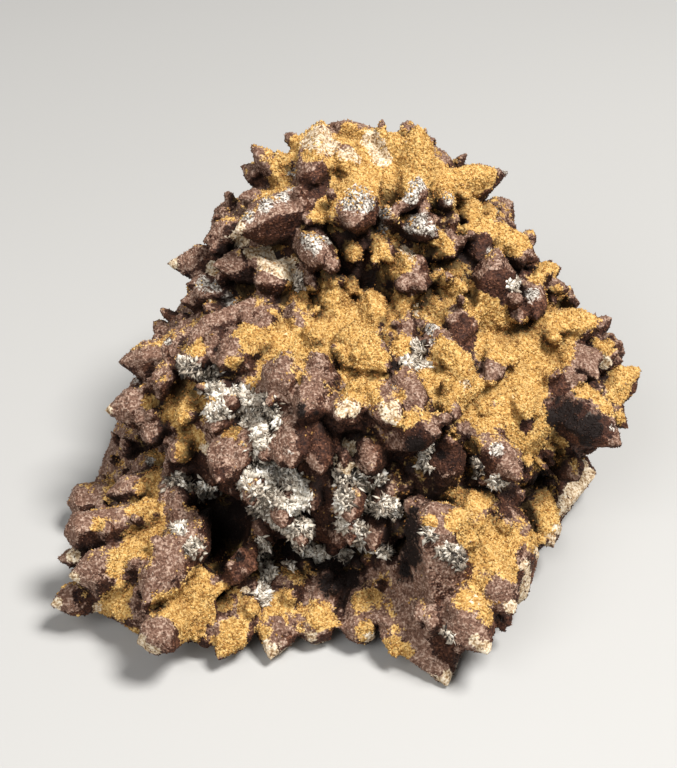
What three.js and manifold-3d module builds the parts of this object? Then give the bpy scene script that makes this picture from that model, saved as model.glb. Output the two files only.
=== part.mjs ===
// A dogtooth calcite cluster: blunt, tooth-shaped crystals grown together over a mound of matrix.
// A terrace crosses the front above a steep wall, the wall is undercut by a hollow, and two feet
// of crystals carry the front of the base. Millimetres, +Z up, +Y away from the front.
import * as THREE from 'three';
import { mergeVertices } from 'three/addons/utils/BufferGeometryUtils.js';
import Module from 'manifold-3d';

const wasm = await Module();
wasm.setup();

// Driving dimensions.
const WIDTH = 126;
const DEPTH = 108;
const HEIGHT = 80;
const TOOTH = 11.5;

// The front view that the crystals were measured in: a picture of this many pixels, in which the
// whole width of the cluster spans SPAN_PIXELS at the distance of the point looked at.
const PICTURE = { width: 677, height: 768 };
const SPAN_PIXELS = 590;
const SIGHT_DISTANCE = 2.7 * WIDTH;
const SIGHT_PITCH = THREE.MathUtils.degToRad(36);
const SIGHT_AIM = new THREE.Vector3(0, 0, 0.375 * HEIGHT);
const SIGHT_FOCAL = (SIGHT_DISTANCE * SPAN_PIXELS) / WIDTH;

// Rounded masses of the matrix. Centres and radii are shares of the half width, half depth and
// height of the cluster.
const LUMPS = {
  plate: { at: [0.01, -0.04, 0.09], radii: [0.88, 0.9, 0.16] },
  body: { at: [0.05, 0.07, 0.32], radii: [0.74, 0.77, 0.34] },
  rightShoulder: { at: [0.61, 0.19, 0.29], radii: [0.36, 0.48, 0.28] },
  rightRidge: { at: [0.4, 0.36, 0.5], radii: [0.37, 0.42, 0.23] },
  upperMass: { at: [0.07, 0.46, 0.58], radii: [0.48, 0.44, 0.33] },
  summit: { at: [0.12, 0.49, 0.8], radii: [0.3, 0.28, 0.13] },
  shelf: { at: [0.06, -0.33, 0.54], radii: [0.4, 0.26, 0.08] },
  frontWall: { at: [0.03, -0.33, 0.26], radii: [0.39, 0.37, 0.26] },
  leftFoot: { at: [-0.49, -0.56, 0.1], radii: [0.39, 0.42, 0.17] },
  rightFoot: { at: [0.37, -0.63, 0.15], radii: [0.28, 0.3, 0.18] },
};

// Hollows under the front wall, in the same shares.
const HOLLOWS = {
  undercut: { at: [-0.06, -0.78, 0.14], radii: [0.41, 0.28, 0.075] },
  cave: { at: [-0.38, -0.59, 0.21], radii: [0.11, 0.26, 0.09] },
  cleft: { at: [0.22, -0.67, 0.175], radii: [0.065, 0.185, 0.11] },
};

// Crystals by region. A crystal runs from the root to the tip, both pixels of the front view, and
// its tip stands `toward` millimetres nearer to the eye than its root. Girth is a share of TOOTH.
const SUMMIT_CRYSTALS = [
  { root: [282, 178], tip: [249, 143], toward: 1, girth: 0.55 },
  { root: [266, 180], tip: [240, 166], toward: 2, girth: 0.6 },
  { root: [266, 203], tip: [237, 196], toward: 2, girth: 0.6 },
  { root: [318, 156], tip: [313, 184], toward: 11, girth: 1.0 },
  { root: [300, 212], tip: [233, 231], toward: 8, girth: 1.2 },
  { root: [242, 228], tip: [202, 243], toward: 3, girth: 0.8 },
  { root: [312, 244], tip: [324, 264], toward: 10, girth: 0.9 },
  { root: [358, 200], tip: [353, 228], toward: 11, girth: 1.05 },
  { root: [385, 226], tip: [386, 204], toward: 3, girth: 0.45 },
  { root: [414, 182], tip: [414, 206], toward: 8, girth: 0.7 },
  { root: [406, 223], tip: [441, 237], toward: 7, girth: 0.65 },
  { root: [440, 196], tip: [452, 206], toward: 7, girth: 0.5 },
  { root: [452, 188], tip: [509, 172], toward: -1, girth: 0.85 },
  { root: [478, 214], tip: [501, 211], toward: 1, girth: 0.45 },
  { root: [416, 166], tip: [418, 123], toward: 0, girth: 0.85 },
  { root: [393, 152], tip: [396, 130], toward: 1, girth: 0.65 },
  { root: [366, 139], tip: [327, 123], toward: -2, girth: 0.6 },
  { root: [320, 158], tip: [318, 134], toward: 1, girth: 0.85 },
  { root: [285, 174], tip: [277, 150], toward: 3, girth: 0.55 },
  { root: [346, 158], tip: [345, 172], toward: 5, girth: 0.65 },
  { root: [326, 206], tip: [322, 224], toward: 6, girth: 0.55 },
  { root: [464, 206], tip: [475, 226], toward: 6, girth: 0.7 },
  { root: [448, 222], tip: [452, 238], toward: 5, girth: 0.45 },
  { root: [376, 244], tip: [393, 262], toward: 6, girth: 0.55 },
  { root: [352, 246], tip: [354, 263], toward: 6, girth: 0.5 },
  { root: [439, 243], tip: [455, 258], toward: 6, girth: 0.6 },
];

const LEFT_CRYSTALS = [
  { root: [232, 264], tip: [166, 264], toward: 1, girth: 0.95 },
  { root: [262, 266], tip: [212, 265], toward: 6, girth: 0.85 },
  { root: [230, 284], tip: [184, 285], toward: 2, girth: 0.65 },
  { root: [216, 300], tip: [178, 302], toward: 2, girth: 0.6 },
  { root: [240, 288], tip: [204, 296], toward: 5, girth: 0.7 },
  { root: [284, 280], tip: [256, 282], toward: 9, girth: 0.9 },
  { root: [308, 274], tip: [318, 292], toward: 6, girth: 0.5 },
  { root: [264, 306], tip: [230, 326], toward: 6, girth: 0.75 },
  { root: [268, 320], tip: [262, 340], toward: 5, girth: 0.55 },
  { root: [236, 322], tip: [186, 337], toward: 3, girth: 0.7 },
  { root: [190, 340], tip: [163, 343], toward: 2, girth: 0.5 },
  { root: [172, 360], tip: [117, 362], toward: 1, girth: 1.05 },
  { root: [182, 370], tip: [150, 380], toward: 5, girth: 0.75 },
  { root: [150, 384], tip: [126, 391], toward: 3, girth: 0.55 },
  { root: [156, 404], tip: [103, 411], toward: 3, girth: 1.0 },
  { root: [204, 358], tip: [188, 377], toward: 8, girth: 0.85 },
  { root: [250, 346], tip: [217, 367], toward: 8, girth: 0.95 },
  { root: [174, 386], tip: [156, 399], toward: 5, girth: 0.55 },
  { root: [162, 424], tip: [146, 442], toward: 7, girth: 0.75 },
  { root: [190, 408], tip: [180, 425], toward: 5, girth: 0.5 },
  { root: [226, 406], tip: [212, 434], toward: 8, girth: 0.8 },
  { root: [240, 448], tip: [217, 483], toward: 10, girth: 1.1 },
  { root: [188, 444], tip: [172, 463], toward: 6, girth: 0.6 },
  { root: [146, 446], tip: [120, 455], toward: 3, girth: 0.65 },
  { root: [164, 466], tip: [126, 478], toward: 4, girth: 0.85 },
  { root: [150, 488], tip: [104, 495], toward: 3, girth: 0.8 },
];

const RIGHT_CRYSTALS = [
  { root: [480, 236], tip: [478, 262], toward: 8, girth: 0.75 },
  { root: [490, 300], tip: [497, 246], toward: 6, girth: 1.05 },
  { root: [502, 246], tip: [539, 261], toward: 3, girth: 0.9 },
  { root: [540, 276], tip: [562, 267], toward: 0, girth: 0.55 },
  { root: [540, 284], tip: [571, 292], toward: 2, girth: 0.5 },
  { root: [530, 290], tip: [537, 320], toward: 9, girth: 0.7 },
  { root: [518, 306], tip: [521, 325], toward: 7, girth: 0.4 },
  { root: [558, 302], tip: [582, 304], toward: 0, girth: 0.55 },
  { root: [554, 328], tip: [608, 324], toward: 1, girth: 0.85 },
  { root: [588, 346], tip: [617, 359], toward: 0, girth: 0.45 },
  { root: [592, 360], tip: [614, 367], toward: 4, girth: 0.5 },
  { root: [572, 356], tip: [599, 380], toward: 7, girth: 0.75 },
  { root: [606, 394], tip: [642, 367], toward: -1, girth: 0.8 },
  { root: [562, 404], tip: [623, 447], toward: 9, girth: 1.25 },
  { root: [562, 412], tip: [556, 365], toward: 5, girth: 0.75 },
  { root: [594, 398], tip: [629, 430], toward: 1, girth: 0.7 },
  { root: [560, 456], tip: [580, 482], toward: 6, girth: 0.75 },
  { root: [520, 402], tip: [530, 421], toward: 4, girth: 0.5 },
];

const TERRACE_CRYSTALS = [
  { root: [300, 308], tip: [298, 332], toward: 7, girth: 0.55 },
  { root: [350, 280], tip: [352, 295], toward: 6, girth: 0.4 },
  { root: [334, 300], tip: [338, 316], toward: 5, girth: 0.85 },
  { root: [374, 312], tip: [378, 330], toward: 5, girth: 0.65 },
  { root: [402, 270], tip: [427, 290], toward: 9, girth: 0.95 },
  { root: [460, 316], tip: [463, 344], toward: 9, girth: 0.85 },
  { root: [444, 286], tip: [469, 291], toward: 6, girth: 0.55 },
  { root: [432, 300], tip: [441, 318], toward: 5, girth: 0.65 },
  { root: [406, 322], tip: [408, 340], toward: 7, girth: 0.45 },
  { root: [362, 354], tip: [390, 370], toward: 8, girth: 0.95 },
  { root: [404, 340], tip: [409, 359], toward: 8, girth: 0.55 },
  { root: [446, 358], tip: [472, 384], toward: 6, girth: 0.95 },
  { root: [318, 378], tip: [318, 351], toward: 5, girth: 0.7 },
  { root: [286, 390], tip: [282, 350], toward: 5, girth: 1.0 },
  { root: [346, 368], tip: [345, 354], toward: 3, girth: 0.35 },
  { root: [404, 386], tip: [422, 414], toward: 8, girth: 0.75 },
  { root: [447, 404], tip: [457, 420], toward: 6, girth: 0.45 },
  { root: [494, 362], tip: [490, 386], toward: 6, girth: 0.55 },
  { root: [396, 428], tip: [442, 433], toward: 10, girth: 1.0 },
  { root: [436, 476], tip: [457, 441], toward: 9, girth: 1.0 },
  { root: [484, 446], tip: [523, 481], toward: 8, girth: 0.95 },
  { root: [352, 402], tip: [338, 421], toward: 8, girth: 0.7 },
  { root: [380, 402], tip: [401, 426], toward: 8, girth: 0.75 },
  { root: [318, 394], tip: [300, 416], toward: 8, girth: 0.9 },
];

const WALL_CRYSTALS = [
  { root: [264, 432], tip: [254, 448], toward: 6, girth: 0.55 },
  { root: [290, 442], tip: [279, 462], toward: 7, girth: 0.8 },
  { root: [330, 436], tip: [322, 454], toward: 6, girth: 0.65 },
  { root: [372, 450], tip: [368, 475], toward: 7, girth: 0.8 },
  { root: [270, 476], tip: [262, 498], toward: 6, girth: 0.65 },
  { root: [298, 486], tip: [292, 508], toward: 6, girth: 0.65 },
  { root: [348, 480], tip: [346, 502], toward: 6, girth: 0.6 },
  { root: [384, 490], tip: [384, 514], toward: 6, girth: 0.6 },
  { root: [298, 518], tip: [300, 544], toward: 5, girth: 0.65 },
  { root: [352, 518], tip: [350, 546], toward: 5, girth: 0.6 },
  { root: [384, 524], tip: [384, 557], toward: 5, girth: 0.65 },
];

const FOOT_CRYSTALS = [
  { root: [116, 500], tip: [66, 503], toward: 2, girth: 0.9, shoulder: 0.85 },
  { root: [118, 528], tip: [63, 533], toward: 3, girth: 0.95, shoulder: 0.85 },
  { root: [86, 556], tip: [56, 559], toward: 2, girth: 0.45 },
  { root: [120, 566], tip: [66, 577], toward: 4, girth: 1.0 },
  { root: [90, 594], tip: [49, 606], toward: 3, girth: 0.75 },
  { root: [178, 556], tip: [143, 607], toward: 9, girth: 1.05 },
  { root: [174, 494], tip: [167, 542], toward: 9, girth: 0.85 },
  { root: [172, 622], tip: [152, 642], toward: 10, girth: 0.9, shoulder: 0.85 },
  { root: [224, 600], tip: [209, 634], toward: 6, girth: 0.6 },
  { root: [246, 612], tip: [217, 661], toward: 7, girth: 0.85 },
  { root: [284, 604], tip: [270, 661], toward: 8, girth: 1.0 },
  { root: [322, 600], tip: [311, 642], toward: 7, girth: 0.9, shoulder: 0.85 },
  { root: [366, 598], tip: [358, 644], toward: 7, girth: 0.8, shoulder: 0.85 },
  { root: [394, 616], tip: [396, 660], toward: 5, girth: 0.6 },
  { root: [420, 596], tip: [448, 688], toward: 10, girth: 1.65 },
  { root: [454, 600], tip: [490, 655], toward: 10, girth: 1.25 },
  { root: [488, 576], tip: [515, 617], toward: 7, girth: 0.95 },
  { root: [444, 568], tip: [430, 502], toward: 8, girth: 1.4, shoulder: 0.82 },
  { root: [470, 516], tip: [464, 542], toward: 6, girth: 0.85 },
  { root: [490, 498], tip: [495, 514], toward: 5, girth: 0.4 },
  { root: [526, 496], tip: [535, 512], toward: 5, girth: 0.45 },
  { root: [540, 518], tip: [553, 548], toward: 5, girth: 0.85 },
];

// A crystal's habit, in shares of its length and girth: the belt where it is widest, the shoulder
// where its steep sides turn into the point, and the uneven corners of its six-sided section.
const SIDES = 6;
const ROOT_DEPTH = 0.5;
const SUNK = 0.8;
const SHOULDER = { height: 0.66, radius: 0.82 };
const CORNER_RATIO = 0.88;
const BELT_ZIGZAG = 0.07;

// Crystals set out on a golden-angle spiral from the base to the summit, on the back of the mound,
// which the front view doesn't show. Lengths and girths are shares of TOOTH.
const BACK = { count: 80, high: 0.78, length: [0.45, 0.85], girth: [0.9, 1.25], facing: 0.02 };
const LOWEST_LEVEL = 0.1;
const LEAN = 0.3;
const LEAN_BACK = 0.9;
const LENGTH_STEP = 0.618;
const GIRTH_STEP = 0.414;
const GOLDEN_ANGLE = Math.PI * (3 - Math.sqrt(5));

// The lumps are uneven: their surface swells and sinks by this share, in waves of this length.
const LUMP_DETAIL = 1;
const UNEVENNESS = 0.1;
const WAVE = 16;
const HALF = new THREE.Vector3(WIDTH / 2, DEPTH / 2, HEIGHT);

// Turns a closed three.js geometry into a solid that can be joined and cut.
function solidFrom(geometry) {
  const bare = geometry.clone();
  bare.deleteAttribute('normal');
  bare.deleteAttribute('uv');
  const merged = mergeVertices(bare, 1e-4);
  return new wasm.Manifold(
    new wasm.Mesh({
      numProp: 3,
      vertProperties: merged.attributes.position.array,
      triVerts: new Uint32Array(merged.index.array),
    }),
  );
}

function geometryFrom(solid) {
  const { vertProperties, triVerts } = solid.getMesh();
  const geometry = new THREE.BufferGeometry();
  geometry.setAttribute('position', new THREE.BufferAttribute(vertProperties, 3));
  geometry.setIndex(new THREE.BufferAttribute(triVerts, 1));
  return geometry;
}

function lump({ at, radii }) {
  const shape = new THREE.IcosahedronGeometry(1, LUMP_DETAIL);
  const radius = new THREE.Vector3(...radii).multiply(HALF);
  const centre = new THREE.Vector3(...at).multiply(HALF);
  shape.scale(radius.x, radius.y, radius.z);
  shape.translate(centre.x, centre.y, centre.z);
  const position = shape.attributes.position;
  const point = new THREE.Vector3();
  for (let i = 0; i < position.count; i += 1) {
    point.fromBufferAttribute(position, i);
    const swell = Math.sin(point.x / WAVE + point.y / WAVE) * Math.cos(point.z / WAVE - point.x / WAVE);
    point.sub(centre).multiplyScalar(1 + UNEVENNESS * swell).add(centre);
    position.setXYZ(i, point.x, point.y, point.z);
  }
  return solidFrom(shape);
}

function joined(solids) {
  return solids.reduce((whole, next) => whole.add(next));
}

// The matrix: all lumps joined, with the hollows cut out of the front.
function matrixSolid() {
  const mound = joined(Object.values(LUMPS).map(lump));
  return mound.subtract(joined(Object.values(HOLLOWS).map(lump)));
}

// One tooth-shaped crystal along +Z with its belt at the origin. A lathe with six segments gives
// its faces; every second corner is drawn in and the belt zigzags, as on a scalenohedron.
function toothGeometry(length, radius, shoulder) {
  const profile = [
    [0, -ROOT_DEPTH * length],
    [radius, 0],
    [SHOULDER.radius * radius, shoulder * length],
    [0, length],
  ];
  const shape = new THREE.LatheGeometry(profile.map((p) => new THREE.Vector2(...p)), SIDES);
  shape.rotateX(Math.PI / 2);
  const position = shape.attributes.position;
  for (let i = 0; i < position.count; i += 1) {
    const corner = Math.floor(i / profile.length) % SIDES;
    const drawn = corner % 2 ? CORNER_RATIO : 1;
    const onBelt = i % profile.length === 1;
    const lift = onBelt ? BELT_ZIGZAG * length * (corner % 2 ? 1 : -1) : 0;
    position.setXYZ(i, position.getX(i) * drawn, position.getY(i) * drawn, position.getZ(i) + lift);
  }
  return shape;
}

// A crystal that comes out of the matrix at the root and ends at the tip. Its belt is sunk.
function toothBetween(root, tip, radius, twist, shoulder = SHOULDER.height) {
  const axis = tip.clone().sub(root).normalize();
  const belt = root.clone().addScaledVector(axis, -SUNK * radius);
  const shape = toothGeometry(tip.distanceTo(belt), radius, shoulder);
  shape.rotateZ(twist);
  shape.applyQuaternion(new THREE.Quaternion().setFromUnitVectors(new THREE.Vector3(0, 0, 1), axis));
  shape.translate(belt.x, belt.y, belt.z);
  return solidFrom(shape);
}

// The eye of the front view, and the way it looks.
const LOOK = new THREE.Vector3(0, Math.cos(SIGHT_PITCH), -Math.sin(SIGHT_PITCH));
const LOOK_UP = new THREE.Vector3(0, Math.sin(SIGHT_PITCH), Math.cos(SIGHT_PITCH));
const EYE = SIGHT_AIM.clone().addScaledVector(LOOK, -SIGHT_DISTANCE);

function sightLine([x, y]) {
  const line = LOOK.clone().multiplyScalar(SIGHT_FOCAL);
  line.x += x - PICTURE.width / 2;
  return line.addScaledVector(LOOK_UP, PICTURE.height / 2 - y);
}

function firstHit(surface, from, way) {
  const [hit] = new THREE.Raycaster(from, way.clone().normalize()).intersectObject(surface);
  return hit;
}

// A crystal seen from the front: rooted where its sight line meets the matrix.
function seenTooth(surface, { root, tip, toward, girth, shoulder }, index) {
  const line = sightLine(root);
  const hit = firstHit(surface, EYE, line);
  if (!hit) throw new Error(`no matrix behind the crystal rooted at pixel ${root}`);
  const depth = hit.point.clone().sub(EYE).dot(LOOK);
  const tipPoint = EYE.clone().addScaledVector(sightLine(tip), (depth - toward) / SIGHT_FOCAL);
  return toothBetween(hit.point, tipPoint, (girth * TOOTH) / 2, index * GOLDEN_ANGLE, shoulder);
}

// A crystal of the back, rooted where a level line towards the summit's axis meets the matrix. It
// leans a little from square, and its length and girth step through their ranges with its index.
function backTooth(surface, index) {
  const { count, high, length, girth, facing } = BACK;
  const level = HEIGHT * THREE.MathUtils.lerp(LOWEST_LEVEL, high, (index + 0.5) / count);
  const bearing = index * GOLDEN_ANGLE;
  const outside = new THREE.Vector3(Math.cos(bearing), Math.sin(bearing), 0).multiplyScalar(WIDTH);
  outside.z = level;
  const axisPoint = new THREE.Vector3(...LUMPS.summit.at).multiply(HALF).setZ(level);
  const hit = firstHit(surface, outside, axisPoint.sub(outside));
  if (!hit || hit.face.normal.dot(LOOK) < facing) return null;
  const lean = new THREE.Vector3(Math.sin(index), Math.cos(index), Math.sin(2 * index));
  const axis = hit.face.normal.clone().addScaledVector(lean, LEAN).addScaledVector(LOOK, LEAN_BACK);
  axis.normalize();
  const reach = TOOTH * THREE.MathUtils.lerp(...length, (index * LENGTH_STEP) % 1);
  const radius = (TOOTH / 2) * THREE.MathUtils.lerp(...girth, (index * GIRTH_STEP) % 1);
  return toothBetween(hit.point, hit.point.clone().addScaledVector(axis, reach), radius, bearing);
}

function backTeeth(surface) {
  const teeth = Array.from({ length: BACK.count }, (_, index) => backTooth(surface, index));
  return teeth.filter((tooth) => tooth);
}

// Keeps what is above the surface that the cluster stands on.
function cutFlat(solid) {
  const above = new THREE.BoxGeometry(3 * WIDTH, 3 * DEPTH, 3 * HEIGHT);
  above.translate(0, 0, 1.5 * HEIGHT);
  return solid.intersect(solidFrom(above));
}

// The largest body of a join: small hollows that crystals close off between them are filled.
function withoutVoids(solid) {
  return solid.decompose().reduce((largest, body) => (body.volume() > largest.volume() ? body : largest));
}

function clusterGeometry() {
  const matrix = matrixSolid();
  const surface = new THREE.Mesh(geometryFrom(matrix), new THREE.MeshBasicMaterial());
  const seen = [
    SUMMIT_CRYSTALS,
    LEFT_CRYSTALS,
    RIGHT_CRYSTALS,
    TERRACE_CRYSTALS,
    WALL_CRYSTALS,
    FOOT_CRYSTALS,
  ].flat();
  const crystals = seen.map((crystal, index) => seenTooth(surface, crystal, index));
  crystals.push(...backTeeth(surface));
  const whole = withoutVoids(cutFlat(matrix.add(joined(crystals))));
  const geometry = geometryFrom(whole);
  geometry.computeBoundingBox();
  const { min, max } = geometry.boundingBox;
  geometry.translate(-(min.x + max.x) / 2, -(min.y + max.y) / 2, -min.z);
  return geometry;
}

const oxideCoat = new THREE.MeshStandardMaterial({ color: 0x6b4836, roughness: 0.85, metalness: 0 });

const cluster = new THREE.Mesh(clusterGeometry(), oxideCoat);
cluster.name = 'calcite_cluster';

const part = new THREE.Group();
part.add(cluster);

export default part;
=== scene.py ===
"""Looks of a dogtooth calcite cluster: a mound of blunt teeth under a dark oxide crust, dusted with ochre
grains and set with sprays of white blades. Metres, in the frame of the solid that it dresses."""

import math

import bpy
import numpy as np
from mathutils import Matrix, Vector
from mathutils.bvhtree import BVHTree


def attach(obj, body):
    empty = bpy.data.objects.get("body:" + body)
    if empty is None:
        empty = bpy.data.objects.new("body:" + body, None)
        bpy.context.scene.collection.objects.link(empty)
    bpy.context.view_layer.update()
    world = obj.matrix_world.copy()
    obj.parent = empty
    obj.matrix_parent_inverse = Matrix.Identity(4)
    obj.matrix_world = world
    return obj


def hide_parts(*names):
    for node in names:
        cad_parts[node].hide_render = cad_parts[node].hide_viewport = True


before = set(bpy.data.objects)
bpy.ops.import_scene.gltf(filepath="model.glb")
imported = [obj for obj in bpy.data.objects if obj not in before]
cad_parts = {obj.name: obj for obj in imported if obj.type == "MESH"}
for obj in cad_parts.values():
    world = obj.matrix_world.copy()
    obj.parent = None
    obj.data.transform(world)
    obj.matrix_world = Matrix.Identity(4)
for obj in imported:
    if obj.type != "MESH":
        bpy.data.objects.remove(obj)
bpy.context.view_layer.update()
NODE = "calcite_cluster"
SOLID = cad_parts[NODE]

MM = 0.001
RANDOM = np.random.default_rng(11)

# The view of the photograph, which is this many pixels wide and high.
PICTURE_WIDTH = 677
PICTURE_HEIGHT = 768
SIGHT_PITCH = math.radians(36)
SIGHT_DISTANCE = 340.2 * MM
SIGHT_AIM = Vector((-3.2, 3.5, 30)) * MM
FOCAL_PIXELS = 1593
SENSOR = 36
LOOK = Vector((0, math.cos(SIGHT_PITCH), -math.sin(SIGHT_PITCH)))
LOOK_UP = Vector((0, math.sin(SIGHT_PITCH), math.cos(SIGHT_PITCH)))
EYE = SIGHT_AIM - SIGHT_DISTANCE * LOOK

# Zones of the coats: column, row and radius, in pixels of that view. First the ochre.
OCHRE_ZONES = [
    (346, 137, 10), (364, 144, 10), (395, 140, 13), (415, 136, 10), (421, 151, 13), (298, 147, 8),
    (313, 151, 8), (343, 165, 11), (405, 166, 13), (430, 168, 12), (371, 177, 15), (348, 184, 12),
    (388, 189, 13), (402, 184, 10), (280, 168, 7), (277, 183, 7), (442, 182, 13), (457, 183, 12),
    (472, 182, 12), (487, 178, 9), (461, 199, 12), (392, 206, 8), (322, 211, 10), (331, 204, 8),
    (430, 206, 6), (472, 210, 10), (486, 213, 8), (477, 223, 8), (464, 230, 9), (508, 240, 13),
    (523, 243, 9), (350, 253, 9), (378, 252, 8), (384, 276, 5), (404, 263, 8), (393, 269, 8),
    (441, 247, 9), (455, 270, 7), (547, 268, 9), (539, 276, 6), (558, 289, 5), (330, 283, 8),
    (352, 287, 8), (442, 285, 9), (452, 291, 9), (471, 296, 11), (290, 291, 8), (310, 299, 11),
    (331, 300, 12), (346, 304, 13), (376, 305, 13), (395, 303, 11), (361, 318, 13), (335, 319, 15),
    (310, 334, 13), (286, 335, 13), (275, 346, 10), (296, 346, 11), (330, 340, 15), (350, 328, 13),
    (365, 345, 15), (375, 360, 13), (361, 371, 13), (356, 386, 10), (370, 386, 8), (341, 352, 8),
    (404, 345, 8), (425, 305, 11), (436, 313, 9), (246, 331, 9), (251, 341, 9), (262, 343, 9),
    (482, 303, 14), (495, 318, 12), (511, 330, 13), (531, 335, 15), (551, 340, 16), (521, 351, 16),
    (501, 346, 14), (486, 346, 10), (541, 361, 14), (560, 355, 10), (526, 375, 14), (562, 306, 9),
    (549, 309, 6), (572, 312, 7), (585, 321, 12), (570, 325, 12), (555, 326, 11), (598, 318, 6),
    (446, 351, 11), (456, 366, 14), (440, 366, 9), (470, 376, 9), (441, 386, 11), (461, 396, 11),
    (446, 401, 9), (471, 407, 11), (491, 396, 13), (511, 396, 13), (535, 386, 12), (531, 402, 10),
    (501, 411, 11), (516, 416, 12), (481, 419, 10), (545, 424, 11), (531, 444, 13), (550, 441, 13),
    (545, 456, 11), (530, 465, 9), (516, 440, 9), (605, 348, 8), (620, 381, 11), (631, 371, 8),
    (618, 395, 9), (600, 395, 8), (585, 392, 7), (611, 406, 8), (620, 419, 6), (410, 423, 8),
    (401, 425, 6), (450, 438, 6), (472, 445, 6), (196, 350, 6), (232, 362, 6), (188, 395, 13),
    (176, 396, 9), (171, 412, 9), (179, 421, 8), (186, 431, 8), (196, 441, 8), (186, 454, 9),
    (150, 402, 6), (164, 463, 7), (155, 475, 7), (148, 489, 9), (145, 501, 10), (151, 513, 9),
    (137, 513, 7), (155, 526, 8), (148, 537, 9), (134, 537, 8), (131, 548, 8), (145, 548, 8),
    (120, 556, 8), (115, 571, 6), (120, 591, 9), (112, 603, 10), (105, 613, 7), (121, 613, 7),
    (98, 525, 6), (105, 505, 5), (200, 581, 11), (211, 591, 8), (181, 601, 14), (166, 606, 11),
    (200, 611, 12), (186, 617, 13), (190, 632, 13), (195, 643, 10), (225, 589, 5), (225, 604, 6),
    (226, 641, 13), (236, 630, 9), (249, 608, 8), (240, 645, 8), (134, 630, 7), (285, 600, 8),
    (275, 606, 7), (262, 633, 6), (320, 618, 9), (332, 621, 6), (361, 600, 7), (366, 632, 8),
    (391, 649, 8), (402, 651, 7), (430, 523, 6), (446, 501, 7), (456, 506, 11), (462, 521, 11),
    (466, 536, 9), (471, 499, 9), (490, 536, 13), (486, 551, 13), (501, 556, 13), (511, 571, 10),
    (506, 541, 11), (511, 489, 11), (531, 511, 9), (546, 506, 11), (556, 511, 8), (546, 526, 11),
    (535, 541, 9), (595, 455, 5), (462, 600, 7), (486, 618, 7),
]
# Crystals that stay brown among the ochre.
BROWN_ZONES = [
    (250, 152, 7), (250, 171, 9), (265, 171, 8), (251, 191, 10), (263, 188, 7), (335, 128, 8),
    (312, 181, 19), (275, 223, 20), (291, 214, 14), (255, 225, 10), (291, 236, 8), (306, 205, 10),
    (215, 241, 12), (226, 230, 10), (190, 263, 14), (196, 276, 10), (226, 263, 12), (243, 267, 11),
    (271, 285, 15), (281, 275, 8), (326, 250, 9), (352, 226, 17), (366, 216, 9), (412, 206, 8),
    (447, 206, 7), (500, 188, 9), (465, 222, 5), (482, 246, 14), (478, 266, 9), (491, 281, 17),
    (526, 266, 12), (531, 255, 8), (551, 281, 6), (565, 286, 6), (575, 302, 5), (530, 296, 13),
    (535, 311, 10), (518, 313, 9), (591, 335, 12), (582, 345, 8), (601, 328, 6), (591, 361, 10),
    (581, 371, 10), (601, 376, 10), (560, 386, 12), (555, 401, 12), (561, 416, 14), (580, 411, 14),
    (596, 431, 14), (611, 441, 10), (575, 431, 10), (461, 326, 16), (466, 341, 14), (449, 336, 8),
    (416, 281, 13), (429, 285, 9), (491, 371, 13), (495, 404, 7), (526, 424, 9), (466, 431, 10),
    (410, 326, 8), (386, 346, 7), (390, 366, 6), (300, 324, 7), (320, 341, 5), (318, 366, 12),
    (331, 373, 8), (280, 365, 10), (270, 376, 10), (262, 386, 9), (290, 386, 9), (301, 391, 9),
    (320, 393, 9), (346, 386, 5), (385, 389, 6), (416, 391, 10), (422, 401, 7), (455, 406, 7),
    (416, 431, 12), (431, 431, 8), (451, 456, 13), (446, 471, 10), (490, 456, 13), (506, 466, 9),
    (135, 360, 12), (155, 355, 10), (150, 370, 10), (230, 350, 9), (130, 405, 15), (160, 391, 8),
    (155, 435, 11), (210, 430, 12), (225, 446, 10), (213, 466, 12), (90, 505, 13), (85, 520, 10),
    (100, 540, 11), (85, 570, 13), (130, 572, 8), (155, 580, 13), (170, 560, 10), (160, 630, 14),
    (145, 640, 8), (215, 630, 9), (440, 540, 11), (228, 325, 14), (258, 318, 12), (205, 322, 12),
    (245, 300, 10), (215, 345, 9), (188, 336, 9), (172, 351, 8), (276, 622, 8), (345, 612, 9),
    (302, 598, 8), (312, 588, 10), (381, 620, 9), (255, 590, 8), (215, 580, 5), (440, 590, 20),
    (415, 620, 16), (450, 625, 17), (500, 590, 12), (478, 620, 10), (440, 665, 14), (320, 445, 13),
]
# Tips under grey frost.
FROST_ZONES = [
    (249, 146, 7), (243, 163, 5), (295, 160, 6), (294, 175, 6), (291, 189, 5), (284, 196, 6),
    (266, 205, 7), (247, 216, 6), (360, 194, 11), (350, 203, 8), (368, 204, 8), (384, 213, 8),
    (382, 226, 7), (419, 184, 8), (412, 198, 9), (447, 198, 7), (420, 224, 12), (431, 232, 8),
    (409, 229, 7), (499, 210, 5), (505, 171, 5), (312, 245, 11), (304, 240, 7), (328, 240, 5),
    (180, 250, 6), (206, 289, 12), (217, 284, 8), (228, 300, 8), (190, 370, 11), (205, 375, 8),
    (168, 342, 4), (532, 294, 8), (500, 250, 6), (488, 252, 5), (430, 327, 8), (432, 342, 5),
    (392, 388, 5), (498, 449, 7), (150, 462, 5), (290, 452, 4), (590, 418, 6), (612, 428, 5),
]
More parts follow.
